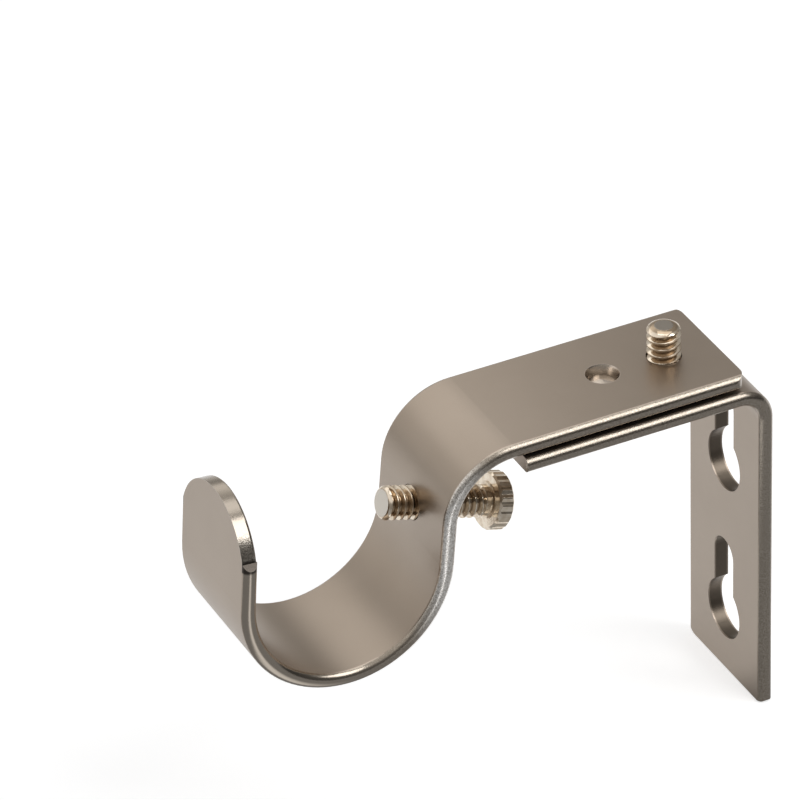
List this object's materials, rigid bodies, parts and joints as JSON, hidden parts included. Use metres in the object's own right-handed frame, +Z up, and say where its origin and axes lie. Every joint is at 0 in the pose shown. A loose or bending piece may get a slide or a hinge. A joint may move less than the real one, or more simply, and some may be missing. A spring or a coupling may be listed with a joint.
{
  "type": "curtain pole bracket",
  "caption": "Adjustable curtain pole bracket: an L-shaped wall strap with keyholes carries a sliding J-shaped hook strap, with thumb screws that lock the reach and the pole.",
  "frame": {"origin": "on the wall strap's back face, halfway across it and midway between the two keyhole entries", "axes": "+X along the pole, +Y into the wall, +Z up, so the arm and the hook reach out along -Y"},
  "size_m": [0.02, 0.0771, 0.0579],
  "materials": {
    "satin_nickel_strip": "satin nickel plate on steel strip",
    "bright_nickel_screw": "bright nickel plate on turned steel"
  },
  "bodies": {
    "wall_bracket": {"wall_strap": "satin_nickel_strip"},
    "hook": {"hook_strap": "satin_nickel_strip"},
    "lock": {"lock_screw": "bright_nickel_screw"},
    "clamp": {"clamp_screw": "bright_nickel_screw"}
  },
  "joints": [
    {"name": "projection_slide", "type": "slide", "parent": "wall_bracket", "child": "hook", "axis": [0, -1, 0], "range_m": [0, 0.01]},
    {"name": "lock_screw_drive", "type": "slide", "parent": "hook", "child": "lock", "axis": [0, 0, -1], "range_m": [0, 0.0045]},
    {"name": "clamp_screw_drive", "type": "slide", "parent": "hook", "child": "clamp", "axis": [0, -0.957, 0.2902], "range_m": [-0.0042, 0.008]}
  ]
}
